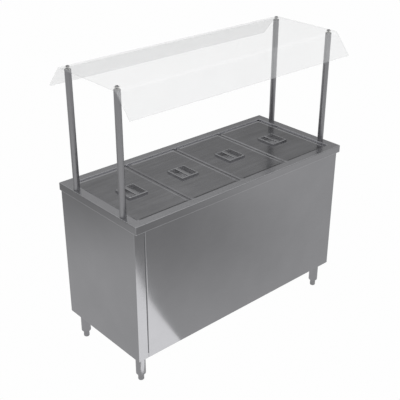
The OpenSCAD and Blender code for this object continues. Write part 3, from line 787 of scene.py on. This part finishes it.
def pan(i):
    """Food pan with a flange and a stacking step, drawn from the outside up and down the inside."""
    node = f"pan_{i}"
    lo, hi = box_of(node)
    at, size = plan_of(node)
    flange, end_flange = 11 * MM, 13.5 * MM
    body = (size[0] - 2 * flange, size[1] - 2 * end_flange)
    step = hi.z - 27 * MM
    corner, rim_corner, low_corner, floor_corner = 36, 38, 30, 20
    edge_corner = 14

    def wall(inward, base, up, r=corner):
        return inset(body, inward * MM, r * MM, base + up * MM, at, seg=8)

    def edge(inward, down):
        return inset(size, inward * MM, edge_corner * MM, hi.z - down * MM, at, seg=8)

    rings = [wall(18, lo.z, 0, floor_corner), wall(8.5, lo.z, 2.5, low_corner), wall(5, lo.z, 9),
             wall(3, step, -1.5), wall(0, step, 0.5), wall(0, hi.z, -3), wall(-2, hi.z, -1, rim_corner)]
    rings += [edge(0.5, 1), edge(0, 0.7), edge(0, 0.3), edge(0.5, 0)]
    rings += [wall(-1.6, hi.z, 0, rim_corner), wall(0.4, hi.z, -0.6), wall(1, hi.z, -3), wall(1, step, 1),
              wall(4, step, -0.5), wall(6, lo.z, 10), wall(9.2, lo.z, 3.6, low_corner),
              wall(18, lo.z, 1, floor_corner)]
    make(f"pan_shell_{i}", loft(rings), "pan", body=node, nodes=(node,))


# -------- cabinet


def end_sheet(side, path):
    """End panel, folded along its plan."""
    node = f"{side}_end_panel"
    lo, hi = box_of(node)
    bm = folded_sheet(path, SHEET, SHEET_BEND, "Z", lo.z, hi.z, seg=5)
    return make_sheet(f"end_sheet_{side}", bm, "end", (node,))


def left_end():
    """Left end panel, which wraps onto the front; the hem there starts above the shelf."""
    lo, hi = box_of("left_end_panel")
    shelf = box_of("bottom_shelf")[1].z
    rear_return, hem, gap = 40 * MM, 18 * MM, 0.6 * MM
    piece = end_sheet("left", [(lo.x + rear_return, hi.y), (lo.x, hi.y), (lo.x, lo.y), (hi.x, lo.y),
                               (hi.x, lo.y + hem)])
    cutter = bmesh.new()
    block(cutter, (hi.x - 6 * MM, lo.y + SHEET + gap, lo.z - CUT),
          (hi.x + 2 * MM, lo.y + hem + CUT, shelf))
    carve(piece, cutter)


def right_end():
    lo, hi = box_of("right_end_panel")
    end_sheet("right", [(hi.x, lo.y), (hi.x, hi.y), (lo.x, hi.y)])


def front_sheet():
    """Front panel with a return at its left end, cut back at the shelf and at the top."""
    lo, hi = box_of("front_panel")
    shelf = box_of("bottom_shelf")[1].z
    return_top = hi.z - 30 * MM
    bend_r = 5.0 * MM
    kept = 7 * MM
    path = [(lo.x, hi.y), (lo.x, lo.y), (hi.x, lo.y)]
    bm = folded_sheet(path, SHEET, bend_r, "Z", lo.z, hi.z, seg=8)
    piece = make_sheet("front_sheet", bm, "front", ("front_panel",))
    cutter = bmesh.new()
    for low, high in ((lo.z - CUT, shelf), (return_top, hi.z + CUT)):
        block(cutter, (lo.x - CUT, lo.y + kept, low), (lo.x + 2 * CUT, hi.y + CUT, high))
    carve(piece, cutter)
    hem = bmesh.new()
    block(hem, (hi.x - 2 * SHEET, lo.y + SHEET, shelf), (hi.x - SHEET, hi.y, return_top))
    make_sheet("front_hem", hem, "front")


def door(side):
    """Door skin with round edges, open on the inside, and its finger pull."""
    node = f"door_{side}"
    lo, hi = box_of(node)
    c = middle(node)
    at, size = (c.x, c.z), (hi.x - lo.x, hi.z - lo.z)
    skin, edge, chamfer = 1.2 * MM, 2.5 * MM, 1.5 * MM
    corner, inner_corner = 3 * MM, 2 * MM
    back = hi.y - skin
    rings = [upright(size, skin + chamfer, inner_corner, back, at),
             upright(size, skin, inner_corner, back - chamfer, at),
             upright(size, skin, inner_corner, lo.y, at),
             upright(size, 0.2 * MM, corner, lo.y, at),
             upright(size, 0, corner, lo.y + 0.3 * MM, at)]
    for across, up in arc(edge, 0, 90, 4):
        rings.append(upright(size, edge - across, corner, hi.y - edge + up, at))
    piece = make(f"door_skin_{side}", loft(rings), "door", body=node, nodes=(node,))
    pull_x = (-622 if side == "left" else 622) * MM
    pull = (34 * MM, 110 * MM)
    cutter = bmesh.new()
    block(cutter, (pull_x - pull[0] / 2, hi.y - CUT, c.z - pull[1] / 2),
          (pull_x + pull[0] / 2, hi.y + CUT, c.z + pull[1] / 2))
    carve(piece, cutter)
    finger_pull(side, pull, (pull_x, c.z), hi.y)


def finger_pull(side, size, at, face):
    """Pressed cup with a rolled rim, let into a door."""
    # Section from the back round the rim to the cup's floor: outward, past the face, corner radius, in mm
    section = [(-3, -11, 8), (0.4, -7, 9), (-0.4, -2, 9), (3, 0, 10), (3.4, 0.3, 10), (3.2, 0.7, 10),
               (0.5, 0.8, 9), (-1, -0.2, 8), (-1.6, -2, 8), (-1.6, -6, 8), (-2.6, -8.6, 7), (-5, -10, 6)]
    rings = [upright(size, -out * MM, r * MM, face + past * MM, at, seg=6) for out, past, r in section]
    make(f"door_pull_{side}", loft(rings), "grip", body=f"door_{side}")


def tracks():
    """Upper and lower channel with three ribs each, for two doors."""
    lo, hi = box_of("door_tracks")
    gap = (hi.y - lo.y - 3 * SHEET) / 2
    low_rib, high_rib = 13 * MM, 17 * MM

    def comb(base, tip, thick):
        """Outline of an E-shaped channel, with its web at base and its ribs reaching tip."""
        web = base + thick
        pts = [(lo.y, base), (hi.y, base), (hi.y, tip)]
        for k in range(2):
            y = hi.y - SHEET - k * (gap + SHEET)
            pts += [(y, tip), (y, web), (y - gap, web), (y - gap, tip)]
        pts += [(lo.y, tip)]
        return pts

    bm = bmesh.new()
    prism(bm, comb(lo.z, lo.z + SHEET + low_rib, SHEET), "X", lo.x, hi.x)
    prism(bm, comb(hi.z, hi.z - SHEET - high_rib, -SHEET), "X", lo.x, hi.x)
    make_sheet("door_channels", bm, "inner", ("door_tracks",))


# -------- controls


def controls():
    """Rear panel with its dial, switch and lamp."""
    lo, hi = box_of("control_panel")
    face = box_of("thermostat_knob")[0].y - 1 * MM
    dial, lamp, switch = middle("thermostat_knob"), middle("pilot_lamp"), middle("power_switch")
    bm = bmesh.new()
    block(bm, (lo.x, face - SHEET, lo.z + SHEET), (hi.x, face, hi.z))
    piece = make_sheet("control_plate", bm, "end", ("control_panel",))
    cutter = bmesh.new()
    for c, r in ((dial, 4 * MM), (lamp, 6.2 * MM)):
        rod(cutter, r, -CUT, CUT, (c.x, face, c.z), "Y", 32)
    half_w, half_h = 10 * MM, 14 * MM
    block(cutter, (switch.x - half_w, face - CUT, dial.z - half_h),
          (switch.x + half_w, face + CUT, dial.z + half_h))
    carve(piece, cutter)
    rail = bmesh.new()
    block(rail, (lo.x, lo.y, lo.z), (hi.x, hi.y, lo.z + SHEET))
    make_sheet("control_rail", rail, "end")
    dial_knob(dial)
    dial_marks(dial, face)
    pilot_lens(lamp, face)
    switch_bezel((switch.x, dial.z), face)
    switch_paddle((switch.x, dial.z), face)


def dial_knob(c):
    """Skirted knob with a grip bar and a white line."""
    lo, hi = box_of("thermostat_knob")
    r = (hi.x - lo.x) / 2
    bore, seat, cap = 3.3 * MM, lo.y + 10 * MM, hi.y - 2 * MM
    skirt = lo.y + 5 * MM
    bm = bmesh.new()
    lathe(bm, [(bore, lo.y), (r - 1 * MM, lo.y), (r, lo.y + 1 * MM), (r - 0.4 * MM, lo.y + 4 * MM),
               (r - 2 * MM, skirt), (r * 0.74, skirt + 0.4 * MM), (r * 0.70, skirt + 2 * MM),
               (r * 0.66, hi.y - 4 * MM), (r * 0.62, hi.y - 2.6 * MM), (r * 0.5, cap),
               (2 * MM, cap), (2 * MM, seat), (bore, seat)], (c.x, 0, c.z), "Y", closed=True)
    bar_w, bar_l, bar_r = 6.8 * MM, 2 * (r - 2.8 * MM), 2.2 * MM
    prism(bm, ring(bar_w, bar_l, bar_r, 0, (c.x, c.z), seg=4), "Y", skirt, hi.y)
    make("dial_knob", bm, "black", body="thermostat_knob", nodes=("thermostat_knob",),
         bevel=0.5 * MM)
    half = 0.8 * MM
    line = bmesh.new()
    block(line, (c.x - half, hi.y - 0.6 * MM, c.z + 6 * MM),
          (c.x + half, hi.y + 0.05 * MM, c.z + r - 4.5 * MM))
    make("dial_pointer", line, "mark", body="thermostat_knob")


def dial_marks(c, face):
    """Plain raised ticks round the dial, longer at both ends and in the middle."""
    start, step, near = 225, 27, 25 * MM
    bm = bmesh.new()
    for k in range(11):
        a = math.radians(start - step * k)
        half, far = (0.9 * MM, 31 * MM) if k % 5 == 0 else (0.5 * MM, 29 * MM)
        centre = Vector((c.x, c.z))
        out = Vector((math.cos(a), math.sin(a)))
        side = left_of(out) * half
        tick = [centre + out * near - side, centre + out * near + side,
                centre + out * far + side, centre + out * far - side]
        prism(bm, tick, "Y", face - 0.2 * MM, face + 0.25 * MM)
    make("dial_marks", bm, "black")


def pilot_lens(c, face):
    """Lamp with a flange and a domed lens."""
    back = box_of("pilot_lamp")[0].y
    flange = face + 3 * MM
    dome_r, dome_h = 5 * MM, 3 * MM
    profile = [(0, back), (5.8 * MM, back), (6 * MM, back + 0.4 * MM), (6 * MM, face), (8 * MM, face),
               (8 * MM, face + 2 * MM), (7.2 * MM, flange), (5.4 * MM, flange)]
    profile += [(dome_r * across, flange + dome_h * up) for across, up in arc(1, 0, 90, 5)[:-1]]
    profile.append((0, flange + dome_h))
    bm = bmesh.new()
    lathe(bm, profile, (c.x, 0, c.z), "Y", 40)
    make("lamp_lens", bm, "amber", nodes=("pilot_lamp",))


def switch_bezel(at, face):
    """Switch housing with a raised bezel round the opening of its rocker."""
    back = box_of("power_switch")[0].y
    raised, low, floor_y = face + 2 * MM, face + 1.2 * MM, face - 10 * MM
    # Section as half width and half height in mm, place along y, and corner radius in mm
    section = [(9.8, 13.8, back, 0.6), (9.8, 13.8, face, 0.6), (13, 17, face, 2), (13, 17, low, 2),
               (12, 16, raised, 1.6), (6.6, 12.8, raised, 0.5), (6.6, 12.8, floor_y, 0.5)]
    rings = [upright((2 * w * MM, 2 * h * MM), 0, r * MM, y, at, seg=4) for w, h, y, r in section]
    make("switch_bezel", loft(rings), "black", nodes=("power_switch",),
         bevel=0.2 * MM)


def switch_paddle(at, face):
    """Rocker with two raised ends, on its axle."""
    x, z = at
    axle = face - 2 * MM
    half_w, pin_r, pin_end = 6 * MM, 1.5 * MM, 6.5 * MM
    # Upper half of the side view, out from the axle and up, in mm
    upper = [(2.4, 2), (3.4, 6), (4.4, 10.8), (3.6, 11.4), (1, 11), (-5, 4)]
    side = [(out, -up) for out, up in reversed(upper)] + [(2.2, 0)] + upper
    bm = bmesh.new()
    prism(bm, [(axle + out * MM, z + up * MM) for out, up in side], "X", x - half_w, x + half_w)
    rod(bm, pin_r, -pin_end, pin_end, (x, axle, z), "X", 24)
    make("switch_paddle", bm, "green", body="switch_rocker", nodes=("switch_rocker",),
         bevel=0.3 * MM)


# -------- legs and feet


def leg(name):
    """Round leg, with the nut that its foot screws into and a plate on top."""
    node = f"leg_{name}"
    lo, hi = box_of(node)
    at, size = plan_of(node)
    r, rim, bore = 25.5 * MM, 3 * MM, 15.8 * MM
    inner = r - TUBE_WALL
    plate, chamfer, plate_corner, bolt_hole = hi.z - 3 * MM, 0.3 * MM, 8 * MM, 4.2 * MM
    thread, nut, nut_top, guide = 6.3 * MM, 96 * MM, 102 * MM, lo.z + 20 * MM
    profile = [(bore, lo.z + 0.5 * MM), (bore + 0.5 * MM, lo.z)]
    profile += bend((r - rim, lo.z + rim), rim, -90, 0)
    profile += [(r, plate), (inner, plate), (inner, nut_top), (thread, nut_top), (thread, nut),
                (inner, nut), (inner, guide), (bore, guide)]
    bm = turned(profile, [at], seg=56, closed=True)
    make(f"leg_tube_{name}", bm, "leg", nodes=(node,))
    rings = [inset(size, chamfer, plate_corner, plate, at),
             inset(size, 0, plate_corner, plate + chamfer, at),
             inset(size, 0, plate_corner, hi.z, at)]
    piece = make(f"leg_plate_{name}", loft(rings), "leg")
    drill(piece, bolt_hole, bolt_places(name), hi.z, seg=24)


def bolt_places(name):
    c = middle(f"leg_{name}")
    off = 30 * MM
    return [(c.x + sx * off, c.y + sy * off) for sx in (-1, 1) for sy in (-1, 1)]


def bolts():
    lo, hi = box_of("leg_bolts")
    seat = lo.z + 5 * MM
    flats, r, point = 12 * MM, 4 * MM, 0.5 * MM
    shank = [(0, seat), (r, seat), (r, hi.z - point), (r - point, hi.z), (0, hi.z)]
    bm = bmesh.new()
    for corner in CORNERS:
        for x, y in bolt_places(corner):
            prism(bm, hexagon(flats, (x, y)), "Z", lo.z, seat)
            lathe(bm, shank, (x, y, 0), seg=24)
    make("plate_bolts", bm, "bolt", nodes=("leg_bolts",), bevel=0.5 * MM)


def foot(name):
    """Turned foot with a pad, a groove and a threaded stud."""
    node = f"foot_{name}"
    lo, hi = box_of(node)
    profile = in_mm([(0, 0.6), (10, 0.6), (11, 0), (12.5, 0), (14.2, 1.2), (15.5, 4), (15.5, 9),
                     (14.7, 9.6), (14.7, 11), (15.5, 11.6), (15.5, 61), (14.5, 62), (6, 62)], lo.z)
    root, crest, pitch = 5.4 * MM, 6 * MM, 1.8 * MM
    z = lo.z + 63 * MM
    while z < hi.z - 2 * MM:
        profile += [(root, z), (crest, z + pitch / 2)]
        z += pitch
    profile += [(5 * MM, hi.z), (0, hi.z)]
    bm = turned(profile, [middle(node).xy])
    make(f"foot_turned_{name}", bm, "foot", body=node, nodes=(node,))


# -------- drain


def drain():
    """Valve body with a collar at each end and a belly between them, and the stem for its lever."""
    lo, hi = box_of("drain_valve")
    x, y = middle("drain_pipe").xy
    mid = (lo.z + hi.z) / 2
    # Radius and distance from the end of the valve, in mm, from the bore outwards
    end = [(11, 0), (17, 0), (18, 1), (18, 9), (16, 11)]
    belly = [(18.6, -8), (20, 0), (18.6, 8)]
    upper_end = [(r, -h) for r, h in reversed(end)]
    bm = bmesh.new()
    lathe(bm, in_mm(end, lo.z) + in_mm(belly, mid) + in_mm(upper_end, hi.z), (x, y, 0), closed=True)
    stem = [(5, 17), (8, 17), (8, 25), (7.2, 26), (5, 26)]
    lathe(bm, in_mm(stem), (x, y, mid), "Y", seg=32, closed=True)
    make("valve_body", bm, "brass", nodes=("drain_valve",))
    drain_lever(x, mid)


def drain_lever(x, z):
    """Flat lever with a round hub, hanging from the valve's stem."""
    lo, hi = box_of("drain_lever")
    back = hi.y - 4 * MM
    shaft, hub, edge, inset_y = 4.5 * MM, 10 * MM, 1 * MM, 0.4 * MM
    bm = bmesh.new()
    lathe(bm, [(0, lo.y), (shaft, lo.y), (shaft, back), (hub, back), (hub, hi.y - edge),
               (hub - edge, hi.y), (4 * MM, hi.y), (0, hi.y)], (x, 0, z), "Y", 32)
    # Half width and place along z, from the hub to the tip
    half = [(6, z - 6 * MM), (6, z - 30 * MM), (8, z - 38 * MM), (8, lo.z + 4 * MM), (5, lo.z)]
    outline = [(x + w * MM, h) for w, h in half] + [(x - w * MM, h) for w, h in reversed(half)]
    prism(bm, outline, "Y", back + inset_y, hi.y - inset_y)
    make("valve_lever", bm, "lever", body="drain_lever", nodes=("drain_lever",),
         bevel=0.6 * MM)


# -------- parts kept from the CAD model

KEPT = {
    "post_sockets": "zinc", "socket_screws": "bolt", "top_stiffeners": "zinc", "water_tank": "inner",
    "pan_bars": "pan", "bottom_shelf": "inner", "shelf_braces": "zinc", "thermostat": "zinc",
    "terminal_box": "zinc", "cable_gland": "black", "heating_element": "heater", "element_clips": "pan",
    "element_nuts": "brass", "drain_fitting": "brass", "drain_pipe": "pan",
}


def kept_parts():
    for node, material in KEPT.items():
        for slot in frame["nodes"][node].material_slots:
            slot.material = MAT[material]


# -------- stage, light and camera

# What the camera sees of the floor and of the background
WHITE = (0.99, 0.99, 0.99, 1)


def emission(name):
    """A new material with an empty tree and its output."""
    mat = bpy.data.materials.new(name)
    mat.use_nodes = True
    tree = mat.node_tree
    tree.nodes.clear()
    return mat, tree, add(tree, "OutputMaterial")


def stage_object(name, corners, material, camera=True):
    """A flat piece of the stage, through a row of corners."""
    mesh = bpy.data.meshes.new(name)
    mesh.from_pydata(corners, [], [tuple(range(len(corners)))])
    mesh.materials.append(material)
    obj = new_object(name, mesh)
    obj.visible_camera = camera


def seen_or_mirrored(tree, seen, mirrored, out):
    """Shows one shader to the camera and another one to everything else."""
    path = add(tree, "LightPath")
    mix = add(tree, "MixShader")
    tree.links.new(path.outputs["Is Camera Ray"], mix.inputs[0])
    tree.links.new(mirrored.outputs[0], mix.inputs[1])
    tree.links.new(seen.outputs[0], mix.inputs[2])
    tree.links.new(mix.outputs[0], out.inputs["Surface"])


def floor():
    """Pale floor. Reflected in the steel it shades from light near the object to darker patches."""
    mat, tree, out = emission("floor_pale")
    pale = add(tree, "Emission", [("Color", WHITE)])
    glow = add(tree, "Emission")
    tree.links.new(glow_map(tree), glow.inputs["Strength"])
    seen_or_mirrored(tree, pale, glow, out)
    radius = 14.0
    stage_object("floor", [(radius * math.cos(a), radius * math.sin(a), 0) for a in turns(64)], mat)


def glow_map(tree):
    """Brightness of the floor in reflections: an even base less a soft dark patch on each side."""
    # Place, radius and depth of each patch
    patches = ((0.3, -1.65, 1.45, 0.24), (-2.3, 1.8, 1.7, 0.34), (0.4, 2.3, 1.7, 0.26),
               (2.5, -0.1, 1.5, 0.24))
    base = add(tree, "Value")
    base.outputs[0].default_value = 0.54
    value = base.outputs[0]
    for x, y, radius, depth in patches:
        less = add(tree, "Math", operation="SUBTRACT")
        tree.links.new(value, less.inputs[0])
        tree.links.new(soft_patch(tree, (x, y, 0), radius, depth), less.inputs[1])
        value = less.outputs[0]
    return value


def soft_patch(tree, at, radius, depth):
    """A field that fades from a depth at one place to nothing at a radius round it."""
    coords = add(tree, "TexCoord")
    span = (radius, radius, radius)
    shift = add(tree, "Mapping", [("Location", at), ("Scale", span)], vector_type="TEXTURE")
    ball = add(tree, "TexGradient", gradient_type="SPHERICAL")
    tree.links.new(coords.outputs["Object"], shift.inputs["Vector"])
    tree.links.new(shift.outputs["Vector"], ball.inputs["Vector"])
    soft = spread(tree, ball.outputs["Fac"], 0.0, depth, from_low=0.0, from_high=1.0)
    soft.node.interpolation_type = "SMOOTHSTEP"
    return soft


def bright_card():
    """Lit patch of floor in front of the left corner, which shows in the front sheet."""
    mat, tree, out = emission("card_bright")
    glow = add(tree, "Emission", [("Strength", 1.28)])
    tree.links.new(glow.outputs[0], out.inputs["Surface"])
    z, left, near, far = 0.003, -0.75, -0.33, -1.36
    edge = [(-0.345, near), (-0.306, -0.463), (-0.25, -0.68), (-0.188, -0.875), (-0.059, -1.174),
            (0.02, far)]
    corners = [(x, y, z) for x, y in edge + [(left, far), (left, near)]]
    stage_object("card", corners, mat, camera=False)


def world():
    """White to the camera; in reflections it brightens from the horizon upwards."""
    w = bpy.data.worlds.new("studio")
    bpy.context.scene.world = w
    w.use_nodes = True
    tree = w.node_tree
    tree.nodes.clear()
    out = add(tree, "OutputWorld")
    coords = add(tree, "TexCoord")
    split = add(tree, "SeparateXYZ")
    tree.links.new(coords.outputs["Generated"], split.inputs["Vector"])
    horizon, zenith = 0.12, 1.0
    soft = add(tree, "Background")
    height = spread(tree, split.outputs["Z"], horizon, zenith, from_low=0.23, from_high=0.81)
    tree.links.new(height, soft.inputs["Strength"])
    white = add(tree, "Background", [("Color", WHITE)])
    seen_or_mirrored(tree, white, soft, out)


def area(name, at, target, size, power):
    """A soft light that no reflection shows."""
    data = bpy.data.lights.new(name, "AREA")
    data.shape = "RECTANGLE"
    data.size, data.size_y = size
    data.energy = power
    obj = new_object(name, data)
    obj.location = at
    obj.rotation_euler = (Vector(target) - Vector(at)).to_track_quat("-Z", "Y").to_euler()
    obj.visible_glossy = False


def lights():
    area("key", at=(-2.2, -2.6, 3.6), target=(0, 0, 0.8), size=(2.4, 2.4), power=60)
    area("fill", at=(2.8, -1.5, 2.6), target=(0, 0, 0.8), size=(2.0, 2.0), power=25)
    area("back", at=(0.5, 3.0, 3.2), target=(0, 0, 1.0), size=(2.5, 1.5), power=30)


def camera():
    """The photo's viewpoint, from a camera fitted to the photo."""
    azimuth, elevation, roll = math.radians(-41.83), math.radians(27.025), math.radians(0.15)
    distance = 4.2217
    offset = Vector((-0.0281, 0.0226, -0.0687))
    lo, hi = CAD_BOX
    target = (lo + hi) / 2 + offset
    level = math.cos(elevation)
    back = Vector((math.sin(azimuth) * level, -math.cos(azimuth) * level, math.sin(elevation)))
    data = bpy.data.cameras.new("camera")
    data.lens = 70.3
    data.sensor_width = 36
    obj = new_object("camera", data)
    obj.location = target + back * distance
    look = (-back).to_track_quat("-Z", "Y")
    obj.rotation_euler = (look @ Quaternion((0, 0, 1), roll)).to_euler()
    bpy.context.scene.camera = obj


# -------- scene

camera()
world()
floor()
bright_card()
lights()
bpy.context.scene.view_settings.view_transform = "Standard"

guard()
posts()
plugs()
washers()
knobs()
counter_top()
for number in range(1, 5):
    lid(number)
    lid_handle(number)
    pan(number)
left_end()
right_end()
front_sheet()
door("left")
door("right")
tracks()
controls()
for place_name in CORNERS:
    leg(place_name)
    foot(place_name)
bolts()
drain()
kept_parts()
